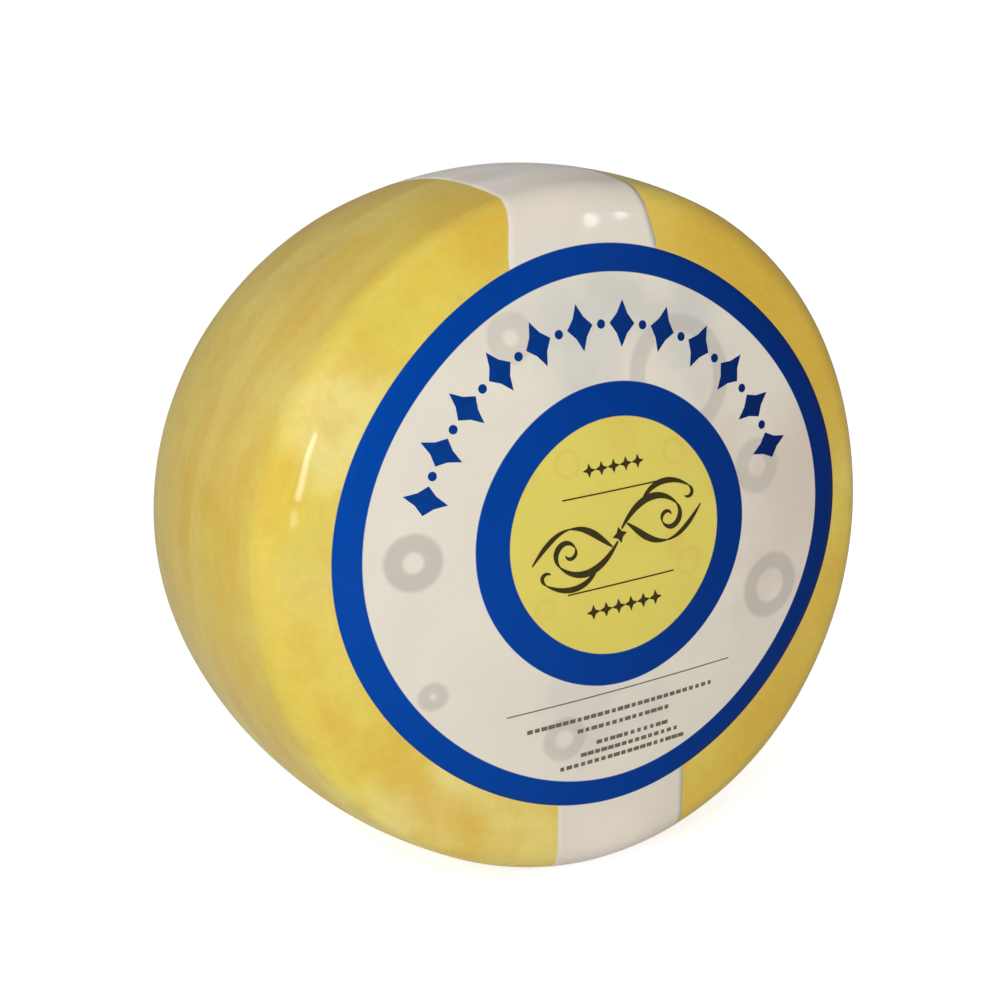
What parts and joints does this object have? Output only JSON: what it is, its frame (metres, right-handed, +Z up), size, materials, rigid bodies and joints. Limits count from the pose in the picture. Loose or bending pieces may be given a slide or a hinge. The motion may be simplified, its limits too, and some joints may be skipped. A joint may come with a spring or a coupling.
{
  "type": "farmhouse cheese",
  "caption": "Whole round hard cheese wheel in a glossy yellow coat, standing on its rim, with a round printed label and straps over the rim.",
  "frame": {"origin": "on the ground, under the middle of the object's box", "axes": "+Z up, the wheel's axis along Y, the labelled face looks to -Y, +X to the right seen from the front"},
  "size_m": [0.2202, 0.1206, 0.2203],
  "materials": {
    "cheese_coat": "smooth yellow coat under tight clear film, glossy, a little mottled",
    "printed_label": null
  },
  "bodies": {
    "root": {"cheese_wheel": "cheese_coat", "label": "printed_label"}
  },
  "joints": []
}
